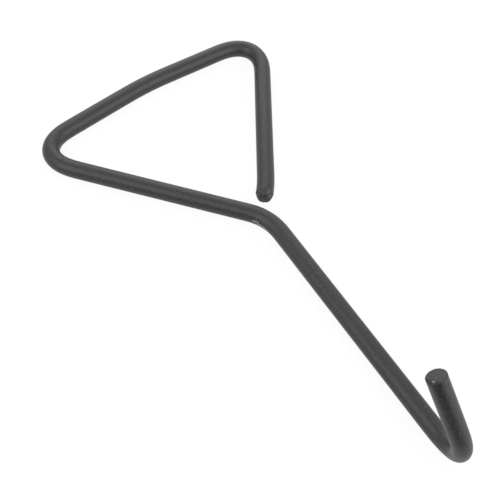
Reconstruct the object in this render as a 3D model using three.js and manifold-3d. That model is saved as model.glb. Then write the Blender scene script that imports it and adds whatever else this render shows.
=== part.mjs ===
// A pull hook with an open triangular handle, cold-bent from one length of round steel bar.
//
// Millimetres, +Z up. The hook lies flat: the handle and the shank rest on z = 0, the shank runs
// along +X, and the J-shaped hook at its end rises out of that plane. The origin is under the
// middle of the part's bounding box.
//
// The bar is followed from its free end, beside the shoulder, to the hook's tip, as a bending
// machine makes it: straight stretches, bends in the flat, one roll about its own axis, and the
// hook's bend. It is the whole object, so it is one solid.

import * as THREE from 'three';
import { mergeVertices } from 'three/addons/utils/BufferGeometryUtils.js';
import Module from 'manifold-3d';

// ---- Driving dimensions -------------------------------------------------------------------

const BAR_DIAMETER = 7.94; // 5/16 inch round bar

// Straight stretches, from the free end to the hook's tip.
const FREE_LEG = 61.3;
const GRIP_NEAR_FREE_LEG = 24.4;
const GRIP_NEAR_SHOULDER_LEG = 28.3;
const SHOULDER_LEG = 74.3;
const SHANK = 98.2;
const HOOK_POINT = 24.1;

// Bends: angle in degrees, positive to the left of the bar's run, and the radius of the bar's
// centreline where the bend is tightest.
const SHARP_RADIUS = 8.9; // both corners of the handle and the hook are bent over one die
const END_NIP = { angle: 8.5, radius: 79, ramp: 0.25, steps: 3 }; // left by cropping the bar
const FREE_CORNER = { angle: 123.6, radius: SHARP_RADIUS, ramp: 0.5, steps: 16 };
const GRIP_BOW = { angle: 8.5, radius: 146, ramp: 0.25, steps: 3 };
const SHOULDER_CORNER = { angle: 122.2, radius: SHARP_RADIUS, ramp: 0.5, steps: 16 };
const SHOULDER = { angle: -42.8, radius: 23, ramp: 0.25, steps: 7 };
const HOOK = { angle: 124.4, radius: SHARP_RADIUS, ramp: 0.5, steps: 16 };

const HOOK_LEAN = 10.4; // how far the hook's plane leans from upright, towards the shoulder corner

// The cut ends: how far the chamfer reaches along the bar, and how much it takes off the radius.
const FREE_END_CHAMFER = { length: 2.7, depth: 1.25 };
const HOOK_TIP_CHAMFER = { length: 0.35, depth: 0.35 };

const SIDES = 24; // flats round the bar
const FINISH = { color: 0x2b2b2c, roughness: 0.55, metalness: 0.35 }; // satin black coating

// ---- The centreline -----------------------------------------------------------------------

const BAR_RADIUS = BAR_DIAMETER / 2;
const FLAT_BENDS = [END_NIP, FREE_CORNER, GRIP_BOW, SHOULDER_CORNER, SHOULDER];
const SUBSTEPS = 40; // short chords added up between two stations of a bend

const radians = THREE.MathUtils.degToRad;

// Follows the bar and notes a station wherever its section has to be drawn. `along` is the way
// the bar runs and `left` is the way a positive bend turns it.
class BarPath {
  constructor(heading) {
    this.place = new THREE.Vector3();
    this.along = new THREE.Vector3(Math.cos(heading), Math.sin(heading), 0);
    this.left = new THREE.Vector3(-Math.sin(heading), Math.cos(heading), 0);
    this.stations = [];
    this.addStation();
  }

  addStation() {
    this.stations.push({ place: this.place.clone(), along: this.along.clone() });
  }

  straight(length) {
    this.place.addScaledVector(this.along, length);
    this.addStation();
  }

  // Turns the bar about its own axis, which changes the plane of the bends that follow.
  roll(angle) {
    this.left.applyAxisAngle(this.along, angle);
  }

  // Curvature ramps up over the first `ramp` share of the bend's length, holds, and ramps down
  // over the last, as it does where bar is bent round a die.
  bend({ angle, radius, ramp, steps }) {
    const turn = Math.abs(radians(angle));
    const length = (turn * radius) / (1 - ramp);
    const rampLength = ramp * length;
    const turnedAt = (s) => {
      if (s < rampLength) return (s * s) / (2 * radius * rampLength);
      if (s > length - rampLength) return turn - (length - s) ** 2 / (2 * radius * rampLength);
      return (s - rampLength / 2) / radius;
    };
    const along = this.along.clone();
    const side = this.left.clone().multiplyScalar(Math.sign(angle));
    const headingAt = (turned) => along.clone()
      .multiplyScalar(Math.cos(turned))
      .addScaledVector(side, Math.sin(turned));
    const chord = length / (steps * SUBSTEPS);
    for (let step = 0; step < steps; step += 1) {
      for (let substep = 0; substep < SUBSTEPS; substep += 1) {
        const middle = (step * SUBSTEPS + substep + 0.5) * chord;
        this.place.addScaledVector(headingAt(turnedAt(middle)), chord);
      }
      this.along.copy(headingAt(turnedAt((step + 1) * SUBSTEPS * chord)));
      this.addStation();
    }
    this.left.applyAxisAngle(along.cross(this.left), radians(angle));
  }
}

// The bar's whole run. It starts at the heading that brings the shank onto +X.
function barPath() {
  const turnToShank = FLAT_BENDS.reduce((sum, bend) => sum + bend.angle, 0);
  const path = new BarPath(-radians(turnToShank));
  path.bend(END_NIP);
  path.straight(FREE_LEG);
  path.bend(FREE_CORNER);
  path.straight(GRIP_NEAR_FREE_LEG);
  path.bend(GRIP_BOW);
  path.straight(GRIP_NEAR_SHOULDER_LEG);
  path.bend(SHOULDER_CORNER);
  path.straight(SHOULDER_LEG);
  path.bend(SHOULDER);
  path.straight(SHANK);
  path.roll(radians(90 + HOOK_LEAN));
  path.bend(HOOK);
  path.straight(HOOK_POINT);
  return path.stations;
}

// The stations as a curve for ExtrudeGeometry, which asks for evenly spaced points: the point at
// i / (number of steps) is the i-th station, so sections fall only where the bar needs them.
class StationCurve extends THREE.Curve {
  constructor(stations) {
    super();
    this.stations = stations;
  }

  stationAt(share) {
    return this.stations[Math.round(share * (this.stations.length - 1))];
  }

  getPointAt(share, target = new THREE.Vector3()) {
    return target.copy(this.stationAt(share).place);
  }

  getTangentAt(share, target = new THREE.Vector3()) {
    return target.copy(this.stationAt(share).along);
  }
}

// ---- Solids -------------------------------------------------------------------------------

const wasm = await Module();
wasm.setup();

function toManifold(geometry) {
  const bare = geometry.clone();
  bare.deleteAttribute('normal');
  bare.deleteAttribute('uv');
  const merged = mergeVertices(bare, 1e-5);
  return new wasm.Manifold(new wasm.Mesh({
    numProp: 3,
    vertProperties: new Float32Array(merged.attributes.position.array),
    triVerts: new Uint32Array(merged.index.array),
  }));
}

function toGeometry(solid) {
  const mesh = solid.getMesh();
  const geometry = new THREE.BufferGeometry();
  geometry.setAttribute('position', new THREE.BufferAttribute(mesh.vertProperties, 3));
  geometry.setIndex(new THREE.BufferAttribute(mesh.triVerts, 1));
  const faceted = geometry.toNonIndexed();
  faceted.computeVertexNormals();
  return faceted;
}

// The bar's section: its flats lie on the true cylinder, and one of them faces straight down on
// the handle and the shank.
function barSection() {
  const cornerRadius = BAR_RADIUS / Math.cos(Math.PI / SIDES);
  const corners = Array.from({ length: SIDES }, (_, side) => {
    const angle = ((side + 0.5) * 2 * Math.PI) / SIDES;
    return new THREE.Vector2(cornerRadius * Math.cos(angle), cornerRadius * Math.sin(angle));
  });
  return new THREE.Shape(corners);
}

// A ring that cuts the chamfer off a bar end. It is turned about +Y, which is the way out of the
// bar, with the cut face at y = 0. The cut line is carried past the bar on both sides.
function chamferCutter({ length, depth }) {
  const slope = length / depth;
  const past = 1;
  const faceRadius = BAR_RADIUS - depth;
  const innerRadius = faceRadius - past / slope;
  const outerRadius = BAR_RADIUS + past;
  const profile = [
    new THREE.Vector2(innerRadius, past),
    new THREE.Vector2(outerRadius, (faceRadius - outerRadius) * slope),
    new THREE.Vector2(outerRadius, past),
    new THREE.Vector2(innerRadius, past),
  ];
  return new THREE.LatheGeometry(profile, 2 * SIDES);
}

function placeAtEnd(geometry, station, outward) {
  const turn = new THREE.Quaternion().setFromUnitVectors(new THREE.Vector3(0, 1, 0), outward);
  geometry.applyQuaternion(turn);
  geometry.translate(station.place.x, station.place.y, station.place.z);
  return geometry;
}

function hookBar() {
  const stations = barPath();
  const first = stations[0];
  const last = stations[stations.length - 1];
  const bar = new THREE.ExtrudeGeometry(barSection(), {
    steps: stations.length - 1,
    extrudePath: new StationCurve(stations),
    bevelEnabled: false,
  });
  const freeEnd = placeAtEnd(chamferCutter(FREE_END_CHAMFER), first, first.along.clone().negate());
  const hookTip = placeAtEnd(chamferCutter(HOOK_TIP_CHAMFER), last, last.along);
  return toGeometry(toManifold(bar).subtract(toManifold(freeEnd)).subtract(toManifold(hookTip)));
}

// ---- The part -----------------------------------------------------------------------------

const part = new THREE.Group();
const bar = new THREE.Mesh(hookBar(), new THREE.MeshStandardMaterial(FINISH));
bar.name = 'hook_bar';
bar.geometry.computeBoundingBox();
const { min, max } = bar.geometry.boundingBox;
bar.position.set(-(min.x + max.x) / 2, -(min.y + max.y) / 2, -min.z);
part.add(bar);

export default part;
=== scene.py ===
"""Looks of a pull hook with an open triangular handle, bent from one round steel bar.

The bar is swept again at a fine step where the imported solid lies: the same route, with the cropped
and battered ends, the scuffs and the coating that the real bar has. Lengths are in metres, and
angles in radians unless a name says degrees.
"""

import math

import bpy
import numpy as np
from mathutils import Matrix, Vector, noise


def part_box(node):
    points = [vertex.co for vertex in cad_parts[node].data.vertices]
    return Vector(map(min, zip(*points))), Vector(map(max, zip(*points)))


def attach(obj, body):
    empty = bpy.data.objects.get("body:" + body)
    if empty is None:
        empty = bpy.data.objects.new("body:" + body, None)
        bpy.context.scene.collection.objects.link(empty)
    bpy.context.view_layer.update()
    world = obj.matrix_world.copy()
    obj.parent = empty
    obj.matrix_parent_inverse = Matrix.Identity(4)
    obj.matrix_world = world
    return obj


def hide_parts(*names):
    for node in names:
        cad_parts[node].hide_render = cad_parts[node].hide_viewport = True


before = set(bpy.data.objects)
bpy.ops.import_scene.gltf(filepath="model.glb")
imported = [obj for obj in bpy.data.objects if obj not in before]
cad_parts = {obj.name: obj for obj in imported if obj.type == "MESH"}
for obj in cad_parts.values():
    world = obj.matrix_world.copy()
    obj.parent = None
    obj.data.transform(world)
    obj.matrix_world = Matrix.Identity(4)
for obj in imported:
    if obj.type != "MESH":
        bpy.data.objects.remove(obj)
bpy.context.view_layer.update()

NODE = "hook_bar"
MM = 0.001

# ---- Driving dimensions: the bar and its route, as the CAD solid has them --------------------

BAR_RADIUS = 3.97 * MM
FREE_LEG = 61.3 * MM
GRIP_NEAR_FREE_LEG = 24.4 * MM
GRIP_NEAR_SHOULDER_LEG = 28.3 * MM
SHOULDER_LEG = 74.3 * MM
SHANK = 98.2 * MM
HOOK_POINT = 24.1 * MM
HOOK_LEAN = math.radians(10.4)

SHARP_RADIUS = 8.9 * MM


class Bend:
    """A bend whose curvature ramps up over the first `ramp` share of it and down over the last."""

    def __init__(self, degrees, radius, ramp):
        self.turn = abs(math.radians(degrees))
        self.side = math.copysign(1, degrees)
        self.radius = radius
        self.length = self.turn * radius / (1 - ramp)
        self.ramp_length = ramp * self.length

    def turned(self, s):
        """How far the bar has turned at each length s into the bend."""
        s = np.clip(s, 0, self.length)
        left = self.length - s
        rising = s**2 / (2 * self.radius * self.ramp_length)
        falling = self.turn - left**2 / (2 * self.radius * self.ramp_length)
        held = (s - self.ramp_length / 2) / self.radius
        turned = np.where(s < self.ramp_length, rising, np.where(left < self.ramp_length, falling, held))
        return self.side * turned


END_NIP = Bend(8.5, 79 * MM, 0.25)
FREE_CORNER = Bend(123.6, SHARP_RADIUS, 0.5)
GRIP_BOW = Bend(8.5, 146 * MM, 0.25)
SHOULDER_CORNER = Bend(122.2, SHARP_RADIUS, 0.5)
SHOULDER = Bend(-42.8, 23 * MM, 0.25)
HOOK = Bend(124.4, SHARP_RADIUS, 0.5)

ROUTE = [
    END_NIP,
    FREE_LEG,
    FREE_CORNER,
    GRIP_NEAR_FREE_LEG,
    GRIP_BOW,
    GRIP_NEAR_SHOULDER_LEG,
    SHOULDER_CORNER,
    SHOULDER_LEG,
    SHOULDER,
    SHANK,
    HOOK,
    HOOK_POINT,
]

# The cut ends. The chamfer runs `length` along the bar and `depth` into its radius, and `rounding`
# is the radius of both its edges. The face is domed, and torn by up to `tear` as far as `torn_to`.
FREE_END = {
    "length": 2.6 * MM,
    "depth": 1.15 * MM,
    "rounding": 0.7 * MM,
    "dome": 0.12 * MM,
    "tear": 0.20 * MM,
    "torn_to": 2.6 * MM,
}
HOOK_TIP = {
    "length": 0.38 * MM,
    "depth": 0.38 * MM,
    "rounding": 0.14 * MM,
    "dome": 0.03 * MM,
    "tear": 0.06 * MM,
    "torn_to": 0.57 * MM,
}
TEAR_GRAIN = 0.55 * MM
TEAR_SMOOTHNESS = 0.7  # how fast the finer octaves fade
TEAR_LACUNARITY = 2.1
TEAR_OCTAVES = 4

# The mesh: sides of each section, and the distance between sections along the bar.
SIDES = 96
STEP = 0.8 * MM
FINE_STEP = 0.3 * MM  # where the bending pin has pinched the shoulder
PINCHED = (313 * MM, 328 * MM)
END_STEP = 0.14 * MM  # within END_ZONE of each cut face
END_ZONE = 5 * MM
FACE_RINGS = 14  # from a cut face's middle to its rim


# ---- The route ------------------------------------------------------------------------------


class Centreline:
    """The bar's centreline by length from its free end, with the directions of its section."""

    FINE = 0.05 * MM

    def __init__(self):
        self.starts = {}
        self.length = 0.0
        for stretch in ROUTE:
            if isinstance(stretch, Bend):
                self.starts[stretch] = self.length
                self.length += stretch.length
            else:
                self.length += stretch
        self.hook_plane_up = np.array([0, -math.sin(HOOK_LEAN), math.cos(HOOK_LEAN)])
        self.s = np.linspace(0, self.length, round(self.length / self.FINE) + 1)
        middle = (self.s[1:] + self.s[:-1]) / 2
        chords = self.along(middle) * np.diff(self.s)[:, None]
        self.place = np.vstack([np.zeros(3), np.cumsum(chords, axis=0)])
        self.settle()

    def settle(self):
        """Moves the route to where the CAD solid lies."""
        low, high = (np.array(corner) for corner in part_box(NODE))
        middle = (self.place.max(0) + self.place.min(0)) / 2
        shift = (low + high) / 2 - middle
        shift[0] = high[0] - BAR_RADIUS - self.place[:, 0].max()
        shift[2] = low[2] + BAR_RADIUS - self.place[0, 2]
        self.place += shift

    def flat_heading(self, s):
        """Heading on the flat, seen from above; the shank runs along +X."""
        bends = [bend for bend in self.starts if bend is not HOOK]
        total = sum(bend.side * bend.turn for bend in bends)
        return sum(bend.turned(s - self.starts[bend]) for bend in bends) - total

    def hook_turned(self, s):
        """How far the hook's bend has turned the bar up out of the flat."""
        return HOOK.turned(s - self.starts[HOOK])

    def along(self, s):
        """The way the bar runs at each length s."""
        heading, rise = self.flat_heading(s), self.hook_turned(s)
        flat = np.stack([np.cos(heading), np.sin(heading), np.zeros_like(heading)], axis=-1)
        return np.cos(rise)[:, None] * flat + np.sin(rise)[:, None] * self.hook_plane_up

    def up(self, s):
        """The section's top: +Z on the flat, carried without twist round the hook."""
        rise = self.hook_turned(s)[:, None]
        shank_way = np.array([1.0, 0, 0])
        axis = np.cross(shank_way, self.hook_plane_up)
        turned_up = np.cos(rise) * self.hook_plane_up - np.sin(rise) * shank_way
        return math.cos(HOOK_LEAN) * turned_up - math.sin(HOOK_LEAN) * axis

    def at(self, s):
        """Place, way along the bar, section's top and section's left at each length s."""
        place = np.stack([np.interp(s, self.s, self.place[:, k]) for k in range(3)], axis=-1)
        along, up = self.along(s), self.up(s)
        return place, along, up, np.cross(up, along)


# ---- The bar's skin -------------------------------------------------------------------------


def rounded_corner(before, corner, after, radius, count=6):
    """Points of the arc that rounds a corner of the section's profile."""
    to_before = (before - corner) / np.linalg.norm(before - corner)
    to_after = (after - corner) / np.linalg.norm(after - corner)
    half = math.acos(np.clip(to_before @ to_after, -1, 1)) / 2
    setback = radius / math.tan(half)
    middle = to_before + to_after
    centre = corner + middle / np.linalg.norm(middle) * radius / math.sin(half)
    start, end = corner + to_before * setback - centre, corner + to_after * setback - centre
    sweep = math.pi - 2 * half
    shares = np.linspace(0, 1, count)[:, None]
    return centre + (np.sin((1 - shares) * sweep) * start + np.sin(shares * sweep) * end) / math.sin(sweep)


def end_profile(end):
    """(distance from the cut face, radius) from the face's middle out to the full bar."""
    face_radius = BAR_RADIUS - end["depth"]
    middle = np.array([0.0, 0.0])
    rim = np.array([0.0, face_radius])
    heel = np.array([end["length"], BAR_RADIUS])
    body = np.array([END_ZONE, BAR_RADIUS])
    rim_arc = rounded_corner(middle, rim, heel, end["rounding"])
    heel_arc = rounded_corner(rim, heel, body, end["rounding"])
    face = np.linspace(0, 1, FACE_RINGS)[:, None] * rim_arc[0]
    cone_count = max(2, round(np.linalg.norm(heel_arc[0] - rim_arc[-1]) / END_STEP))
    cone = np.linspace(rim_arc[-1], heel_arc[0], cone_count)[1:-1]
    body_count = round((END_ZONE - heel_arc[-1, 0]) / END_STEP)
    straight = np.linspace(heel_arc[-1], body, body_count)[1:]
    profile = np.vstack([face, rim_arc[1:], cone, heel_arc, straight])
    crown = np.clip(1 - (profile[:, 1] / face_radius) ** 2, 0, 1)
    profile[:, 0] += end["dome"] * (1 - crown)
    return profile


def skin_rows(route):
    """(length along the bar, radius) of every ring of the mesh, from one cut face to the other."""
    free_end, hook_tip = end_profile(FREE_END), end_profile(HOOK_TIP)[::-1]
    hook_tip = np.stack([route.length - hook_tip[:, 0], hook_tip[:, 1]], axis=-1)
    stops = [(free_end[-1, 0], STEP), (PINCHED[0], FINE_STEP), (PINCHED[1], STEP), (hook_tip[0, 0], STEP)]
    spans = [
        np.linspace(start, stop, round((stop - start) / step), endpoint=False)
        for (start, step), (stop, _) in zip(stops, stops[1:])
    ]
    body_s = np.concatenate(spans)[1:]
    body = np.stack([body_s, np.full_like(body_s, BAR_RADIUS)], axis=-1)
    return np.vstack([free_end, body, hook_tip])


def skin_grid(route, rows):
    """Points and outward directions of the mesh, as arrays of ring by side."""
    place, along, up, left = route.at(rows[:, 0])
    angle = np.linspace(0, 2 * math.pi, SIDES, endpoint=False)
    spoke = np.cos(angle)[None, :, None] * up[:, None] + np.sin(angle)[None, :, None] * left[:, None]
    points = place[:, None] + rows[:, 1][:, None, None] * spoke
    slope = np.gradient(rows[:, 1]), np.gradient(rows[:, 0])
    steep = np.hypot(*slope)
    outward = (slope[1] / steep)[:, None, None] * spoke - (slope[0] / steep)[:, None, None] * along[:, None]
    return points, outward


# Marks on the bar. `at` is the length from the free end, or back from the hook's tip if it is below
# zero. `degrees` go round from the section's top towards the left of the bar's run. A mark fades
# over about its `size`, and a burr's `depth` is below zero because it stands up.
PITS = [
    {"at": 2.4 * MM, "degrees": 66, "depth": 0.50 * MM, "size": 0.42 * MM},
    {"at": 1.1 * MM, "degrees": 52, "depth": 0.50 * MM, "size": 0.42 * MM},
    {"at": 0.2 * MM, "degrees": 34, "depth": 0.55 * MM, "size": 0.44 * MM},
    {"at": 1.9 * MM, "degrees": 10, "depth": 0.16 * MM, "size": 0.60 * MM},
    {"at": 2.7 * MM, "degrees": -2, "depth": 0.14 * MM, "size": 0.70 * MM},
    {"at": 0.1 * MM, "degrees": -70, "depth": 0.30 * MM, "size": 0.45 * MM},
    {"at": 1.5 * MM, "degrees": -58, "depth": 0.14 * MM, "size": 0.45 * MM},
    {"at": 2.3 * MM, "degrees": -110, "depth": 0.22 * MM, "size": 0.60 * MM},
    {"at": 1.4 * MM, "degrees": 150, "depth": 0.30 * MM, "size": 0.60 * MM},
    {"at": 315.9 * MM, "degrees": -64, "depth": 0.12 * MM, "size": 0.70 * MM},
    {"at": -0.1 * MM, "degrees": -158, "depth": 0.34 * MM, "size": 0.60 * MM},
    {"at": -0.1 * MM, "degrees": -122, "depth": 0.42 * MM, "size": 0.60 * MM},
    {"at": -0.1 * MM, "degrees": -107, "depth": 0.42 * MM, "size": 0.60 * MM},
    {"at": -0.1 * MM, "degrees": -92, "depth": 0.30 * MM, "size": 0.60 * MM},
]
BURRS = [
    {"at": 2.9 * MM, "degrees": 92, "depth": -0.06 * MM, "size": 0.50 * MM},
    {"at": 2.2 * MM, "degrees": 30, "depth": -0.24 * MM, "size": 0.42 * MM},
    {"at": 2.3 * MM, "degrees": -34, "depth": -0.18 * MM, "size": 0.75 * MM},
    {"at": 1.2 * MM, "degrees": -84, "depth": -0.22 * MM, "size": 0.45 * MM},
    {"at": 0.5 * MM, "degrees": -30, "depth": -0.14 * MM, "size": 0.50 * MM},
    {"at": 316.9 * MM, "degrees": -82, "depth": -0.12 * MM, "size": 0.60 * MM},
]

# Where the coating has been rubbed, as strokes between two places on the bar, each (at, degrees).
# At strength 1 the stroke is bare steel. The faint ones are lighter patches on the free end.
SCUFFS = [
    {"from": (315.3 * MM, -79), "to": (316.7 * MM, -80), "width": 0.26 * MM, "strength": 1.0},
    {"from": (317.0 * MM, -76), "to": (318.3 * MM, -79), "width": 0.24 * MM, "strength": 0.9},
    {"from": (318.1 * MM, -91), "to": (322.6 * MM, -91), "width": 0.28 * MM, "strength": 1.0},
    {"from": (322.6 * MM, -92), "to": (325.5 * MM, -94), "width": 0.18 * MM, "strength": 0.5},
    {
        "from": (-0.05 * MM, -143),
        "to": (-0.05 * MM, -132),
        "inset": 0.6 * MM,
        "width": 0.24 * MM,
        "strength": 1.0,
    },
    {"from": (426.6 * MM, 12), "to": (427.1 * MM, 14), "width": 0.12 * MM, "strength": 0.5},
    {"from": (224.1 * MM, 2), "to": (224.5 * MM, 3), "width": 0.12 * MM, "strength": 0.5},
    {"from": (0.1 * MM, 90), "to": (0.1 * MM, -90), "width": 2.2 * MM, "strength": 0.06},
    {"from": (2.2 * MM, 44), "to": (1.4 * MM, 36), "width": 0.36 * MM, "strength": 0.14},
    {"from": (2.6 * MM, -25), "to": (1.6 * MM, -23), "width": 0.55 * MM, "strength": 0.11},
    {"from": (2.0 * MM, -77), "to": (1.2 * MM, -74), "width": 0.30 * MM, "strength": 0.34},
    {"from": (0.1 * MM, 48), "to": (0.1 * MM, 30), "width": 0.30 * MM, "strength": 0.12},
]


def on_bar(route, at, degrees, inset=0.0):
    """The place at a length and an angle round the bar, on its surface or `inset` deeper."""
    angle = math.radians(degrees)
    end, from_end = (FREE_END, at) if at >= 0 else (HOOK_TIP, -at)
    place, _, up, left = route.at(np.array([at if at >= 0 else route.length + at]))
    bevel = end["depth"] * max(0.0, 1 - from_end / end["length"])
    spoke = math.cos(angle) * up[0] + math.sin(angle) * left[0]
    return place[0] + (BAR_RADIUS - bevel - inset) * spoke


def press_marks(route, points, outward, marks):
    """Sinks pits, or raises burrs where the depth is negative, round the marks' places."""
    for mark in marks:
        centre = on_bar(route, mark["at"], mark["degrees"])
        near = np.linalg.norm(points - centre, axis=-1) / mark["size"]
        points = points - (mark["depth"] * np.exp(-(near**2)))[..., None] * outward
    return points


def roughen_ends(points, outward, rows, length):
    """The cropped faces are torn, not machined: a fine unevenness that fades into the bar."""
    from_end = np.minimum(rows[:, 0], length - rows[:, 0])
    is_free_end = rows[:, 0] < length / 2
    reach = np.where(is_free_end, FREE_END["torn_to"], HOOK_TIP["torn_to"])
    height = np.where(is_free_end, FREE_END["tear"], HOOK_TIP["tear"])
    fade = np.clip(1 - from_end / reach, 0, 1) ** 0.5
    for row in np.nonzero(fade > 0)[0]:
        for side in range(SIDES):
            grain = Vector(points[row, side] / TEAR_GRAIN)
            rough = noise.fractal(grain, TEAR_SMOOTHNESS, TEAR_LACUNARITY, TEAR_OCTAVES)
            points[row, side] += outward[row, side] * height[row] * fade[row] * rough
    return points


def skin_mesh(name, points):
    """A closed mesh of rings; the first and the last ring shrink to one point each."""
    rings, sides = points.shape[:2]
    inner = points[1:-1].reshape(-1, 3)
    first, last = points[0].mean(0), points[-1].mean(0)
    vertices = np.vstack([inner, first, last])
    first_index, last_index = len(inner), len(inner) + 1
    faces = []
    for ring in range(rings - 3):
        for side in range(sides):
            after = (side + 1) % sides
            low, high = ring * sides, (ring + 1) * sides
            faces.append((low + side, high + side, high + after, low + after))
    top = (rings - 3) * sides
    for side in range(sides):
        after = (side + 1) % sides
        faces.append((first_index, side, after))
        faces.append((last_index, top + after, top + side))
    mesh = bpy.data.meshes.new(name)
    mesh.from_pydata(vertices.tolist(), [], faces)
    mesh.validate()
    mesh.update()
    mesh.shade_smooth()
    return mesh


def hook_skin(route):
    """The whole bar, from the free end's cut face to the hook tip's, as one closed piece."""
    rows = skin_rows(route)
    points, outward = skin_grid(route, rows)
    points = press_marks(route, points, outward, PITS + BURRS)
    points = roughen_ends(points, outward, rows, route.length)
    piece = bpy.data.objects.new("hook_bar_skin", skin_mesh("hook_bar_skin", points))
    bpy.context.scene.collection.objects.link(piece)
    return piece


# ---- Materials ------------------------------------------------------------------------------

COAT_DARK = (0.006, 0.006, 0.0066, 1)
COAT_LIGHT = (0.015, 0.0147, 0.0143, 1)
COAT_ROUGHNESS = (0.36, 0.46)
BARE_STEEL = (0.24, 0.24, 0.24, 1)
MOTTLE_SCALE = 900  # noise scales are per metre
MOTTLE_DETAIL = 4
MOTTLE_RANGE = (0.35, 0.68)  # the stretch of the noise that goes from dark to light
PEEL_SCALE = 1100
PEEL_DETAIL = 3
PEEL_ROUGHNESS = 0.6
PEEL_HEIGHT = 0.2 * MM
RAGGED_SCALE = 2600
RAGGED_DETAIL = 2
RAGGED_REACH = 0.3 * MM
STROKE_CORE = 0.4  # a stroke is full up to this share of its width from its line
STROKE_EDGE = 1.3  # and gone at this one

FLOOR_WHITE = (0.05, 0.05, 0.05, 1)
FLOOR_ROUGHNESS = 0.9
FLOOR_SPECULAR = 0.1
FLOOR_GLOW = 0.93

# Painted shade: this black darkens the bar's reflections on the near side of the hook.
CARD_PAINTED_SHADE = (0.05, 0.05, 0.05, 1)


def new_material(name):
    material = bpy.data.materials.new(name)
    material.use_nodes = True
    nodes, links = material.node_tree.nodes, material.node_tree.links
    return material, nodes, links, nodes["Principled BSDF"]


def stroke_mask(nodes, links, place, start, end, width, strength):
    """How much a point belongs to a rubbed stroke: `strength` on its line, none past its edge."""
    run = Vector(end) - Vector(start)
    from_start = nodes.new("ShaderNodeVectorMath")
    from_start.operation = "SUBTRACT"
    from_start.inputs[1].default_value = start
    links.new(place, from_start.inputs[0])
    share = nodes.new("ShaderNodeVectorMath")
    share.operation = "DOT_PRODUCT"
    share.inputs[1].default_value = run / run.length_squared
    links.new(from_start.outputs["Vector"], share.inputs[0])
    held = nodes.new("ShaderNodeClamp")
    links.new(share.outputs["Value"], held.inputs["Value"])
    foot = nodes.new("ShaderNodeVectorMath")
    foot.operation = "SCALE"
    foot.inputs[0].default_value = run
    links.new(held.outputs["Result"], foot.inputs["Scale"])
    away = nodes.new("ShaderNodeVectorMath")
    away.operation = "DISTANCE"
    links.new(from_start.outputs["Vector"], away.inputs[0])
    links.new(foot.outputs["Vector"], away.inputs[1])
    mask = nodes.new("ShaderNodeMapRange")
    mask.interpolation_type = "SMOOTHSTEP"
    mask.inputs["From Min"].default_value = STROKE_CORE * width
    mask.inputs["From Max"].default_value = STROKE_EDGE * width
    mask.inputs["To Min"].default_value = strength
    mask.inputs["To Max"].default_value = 0
    links.new(away.outputs["Value"], mask.inputs["Value"])
    return mask.outputs["Result"]


def rubbed_mask(nodes, links, place, route):
    """All the scuffs as one mask, with edges that a fine noise breaks up."""
    ragged = nodes.new("ShaderNodeTexNoise")
    ragged.inputs["Scale"].default_value = RAGGED_SCALE
    ragged.inputs["Detail"].default_value = RAGGED_DETAIL
    links.new(place, ragged.inputs["Vector"])
    centred = nodes.new("ShaderNodeVectorMath")
    centred.operation = "SUBTRACT"
    centred.inputs[1].default_value = (0.5, 0.5, 0.5)
    links.new(ragged.outputs["Color"], centred.inputs[0])
    wander = nodes.new("ShaderNodeVectorMath")
    wander.operation = "MULTIPLY_ADD"
    wander.inputs[1].default_value = (RAGGED_REACH, RAGGED_REACH, RAGGED_REACH)
    links.new(centred.outputs["Vector"], wander.inputs[0])
    links.new(place, wander.inputs[2])
    total = None
    for scuff in SCUFFS:
        inset = scuff.get("inset", 0.0)
        start, end = (
            on_bar(route, at, degrees, inset) for at, degrees in (scuff["from"], scuff["to"])
        )
        mask = stroke_mask(
            nodes, links, wander.outputs["Vector"], start, end, scuff["width"], scuff["strength"]
        )
        if total is not None:
            wider = nodes.new("ShaderNodeMath")
            wider.operation = "MAXIMUM"
            links.new(total, wider.inputs[0])
            links.new(mask, wider.inputs[1])
            mask = wider.outputs["Value"]
        total = mask
    return total


def coated_steel(route):
    """Satin black coating with a fine orange peel, rubbed through here and there to bare steel."""
    material, nodes, links, surface = new_material("satin_black_coating")
    place = nodes.new("ShaderNodeTexCoord").outputs["Object"]
    mottle = nodes.new("ShaderNodeTexNoise")
    mottle.inputs["Scale"].default_value = MOTTLE_SCALE
    mottle.inputs["Detail"].default_value = MOTTLE_DETAIL
    links.new(place, mottle.inputs["Vector"])
    tones = nodes.new("ShaderNodeValToRGB")
    dark, light = tones.color_ramp.elements
    dark.position, light.position = MOTTLE_RANGE
    dark.color, light.color = COAT_DARK, COAT_LIGHT
    links.new(mottle.outputs["Fac"], tones.inputs["Fac"])
    rubbed = rubbed_mask(nodes, links, place, route)
    worn = nodes.new("ShaderNodeMix")
    worn.data_type = "RGBA"
    worn.inputs["B"].default_value = BARE_STEEL
    links.new(rubbed, worn.inputs["Factor"])
    links.new(tones.outputs["Color"], worn.inputs["A"])
    links.new(worn.outputs["Result"], surface.inputs["Base Color"])
    gloss = nodes.new("ShaderNodeMapRange")
    gloss.inputs["To Min"].default_value = COAT_ROUGHNESS[0]
    gloss.inputs["To Max"].default_value = COAT_ROUGHNESS[1]
    links.new(mottle.outputs["Fac"], gloss.inputs["Value"])
    links.new(gloss.outputs["Result"], surface.inputs["Roughness"])
    peel = nodes.new("ShaderNodeTexNoise")
    peel.inputs["Scale"].default_value = PEEL_SCALE
    peel.inputs["Detail"].default_value = PEEL_DETAIL
    peel.inputs["Roughness"].default_value = PEEL_ROUGHNESS
    links.new(place, peel.inputs["Vector"])
    bump = nodes.new("ShaderNodeBump")
    bump.inputs["Strength"].default_value = 1
    bump.inputs["Distance"].default_value = PEEL_HEIGHT
    links.new(peel.outputs["Fac"], bump.inputs["Height"])
    links.new(bump.outputs["Normal"], surface.inputs["Normal"])
    return material


def shade_card_material():
    """Black paper without any gloss: painted shade that only the bar's reflections see."""
    material, _, _, surface = new_material("painted_shade_card")
    surface.inputs["Base Color"].default_value = CARD_PAINTED_SHADE
    surface.inputs["Roughness"].default_value = 1
    surface.inputs["Specular IOR Level"].default_value = 0
    return material


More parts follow.
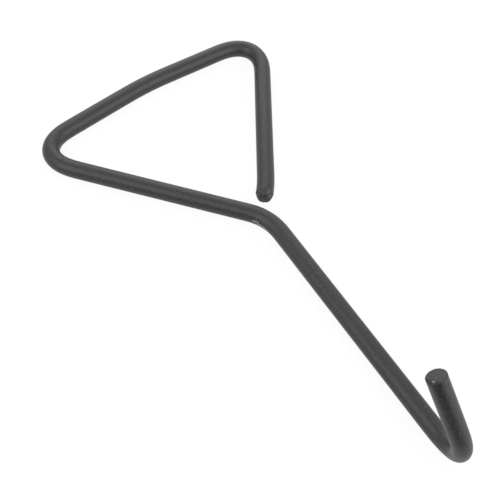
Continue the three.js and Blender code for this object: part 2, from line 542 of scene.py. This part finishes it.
def floor_material():
    """A light table: its white is nearly all its own, so that the bar's shadow on it is faint."""
    material, _, _, surface = new_material("white_sweep")
    surface.inputs["Base Color"].default_value = FLOOR_WHITE
    surface.inputs["Roughness"].default_value = FLOOR_ROUGHNESS
    surface.inputs["Specular IOR Level"].default_value = FLOOR_SPECULAR
    surface.inputs["Emission Color"].default_value = (1, 1, 1, 1)
    surface.inputs["Emission Strength"].default_value = FLOOR_GLOW
    return material


# ---- Studio ---------------------------------------------------------------------------------

LOOK_AT = Vector((-4.73, -8.24, 3.97)) * MM
CAMERA_DISTANCE = 381.4 * MM
CAMERA_AZIMUTH = math.radians(52.6)  # from looking along +Y, round towards looking along -X
CAMERA_ELEVATION = math.radians(55.07)
CAMERA_ROLL = math.radians(6.12)
LENS = 64.8  # these two in millimetres
SENSOR_WIDTH = 36
CLIP_START = 10 * MM

WORLD_GLOW = 1.0
SOFTBOX_DISTANCE = 1.2
SOFTBOXES = [  # name, azimuth, elevation, diameter, radiance
    ("softbox_by_shoulder_corner", -84, 39, 1.15, 1.85),
    ("softbox_behind_handle", 152, 33, 1.3, 1.15),
    ("softbox_beside_hook", 30, 31, 1.15, 2.45),
]
# A black card lies on the floor towards the camera, just outside its view, and turns up at its far
# edge. It is painted shade: it keeps the white floor out of the reflections on the near side of the hook.
CARD_AZIMUTH = math.radians(-42)
CARD_NEAR = 0.132
CARD_FAR = 0.45
CARD_HALF_WIDTH = 0.30
CARD_HEIGHT = 0.22
CARD_LIFT = 0.2 * MM
FLOOR_HALF = 4.0
FLOOR_DROP = 0.05 * MM  # keeps the floor's plane off the bar's underside


def add_camera():
    camera = bpy.data.objects.new("camera", bpy.data.cameras.new("camera"))
    camera.data.lens = LENS
    camera.data.sensor_width = SENSOR_WIDTH
    camera.data.clip_start = CLIP_START
    turn = (
        Matrix.Rotation(CAMERA_AZIMUTH, 4, "Z")
        @ Matrix.Rotation(math.pi / 2 - CAMERA_ELEVATION, 4, "X")
        @ Matrix.Rotation(CAMERA_ROLL, 4, "Z")
    )
    back = turn @ Vector((0, 0, CAMERA_DISTANCE))
    camera.matrix_world = Matrix.Translation(LOOK_AT + back) @ turn
    bpy.context.scene.collection.objects.link(camera)
    bpy.context.scene.camera = camera


def add_softbox(name, azimuth, elevation, diameter, radiance):
    """A round softbox that faces the object. Azimuth is counted from +X towards +Y, in degrees."""
    azimuth, elevation = math.radians(azimuth), math.radians(elevation)
    way = Vector(
        (
            math.cos(azimuth) * math.cos(elevation),
            math.sin(azimuth) * math.cos(elevation),
            math.sin(elevation),
        )
    )
    lamp = bpy.data.lights.new(name, "AREA")
    lamp.shape = "DISK"
    lamp.size = diameter
    face_area = math.pi * diameter**2 / 4
    lamp.energy = radiance * math.pi * face_area
    holder = bpy.data.objects.new(name, lamp)
    holder.location = way * SOFTBOX_DISTANCE
    holder.rotation_euler = (-way).to_track_quat("-Z", "Y").to_euler()
    bpy.context.scene.collection.objects.link(holder)


def add_shade_card():
    """A flag of painted shade for the bar's reflections only: camera, shadow and diffuse rays pass through
    it.
    """
    out = Vector((math.cos(CARD_AZIMUTH), math.sin(CARD_AZIMUTH), 0))
    side = CARD_HALF_WIDTH * Vector((-out.y, out.x, 0))
    near = CARD_NEAR * out + Vector((0, 0, CARD_LIFT))
    far = CARD_FAR * out + Vector((0, 0, CARD_LIFT))
    top = far + Vector((0, 0, CARD_HEIGHT))
    corners = [end + way * side for end in (near, far, top) for way in (-1, 1)]
    mesh = bpy.data.meshes.new("painted_shade_card")
    mesh.from_pydata(corners, [], [(0, 2, 3, 1), (2, 4, 5, 3)])
    mesh.materials.append(shade_card_material())
    card = bpy.data.objects.new("painted_shade_card", mesh)
    card.visible_camera = False
    card.visible_shadow = False
    card.visible_diffuse = False
    bpy.context.scene.collection.objects.link(card)


def add_studio():
    world = bpy.data.worlds.new("studio")
    world.use_nodes = True
    background = world.node_tree.nodes["Background"]
    background.inputs["Color"].default_value = (1, 1, 1, 1)
    background.inputs["Strength"].default_value = WORLD_GLOW
    bpy.context.scene.world = world
    bpy.context.scene.view_settings.view_transform = "Standard"
    for softbox in SOFTBOXES:
        add_softbox(*softbox)

    mesh = bpy.data.meshes.new("floor")
    corners = [(x * FLOOR_HALF, y * FLOOR_HALF, 0) for x, y in ((-1, -1), (1, -1), (1, 1), (-1, 1))]
    mesh.from_pydata(corners, [], [(0, 1, 2, 3)])
    mesh.materials.append(floor_material())
    floor = bpy.data.objects.new("floor", mesh)
    floor.location.z = -FLOOR_DROP
    bpy.context.scene.collection.objects.link(floor)


# ---- Assembly -------------------------------------------------------------------------------

add_camera()
add_studio()
add_shade_card()

route = Centreline()
skin = hook_skin(route)
skin.data.materials.append(coated_steel(route))
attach(skin, "root")
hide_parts(NODE)
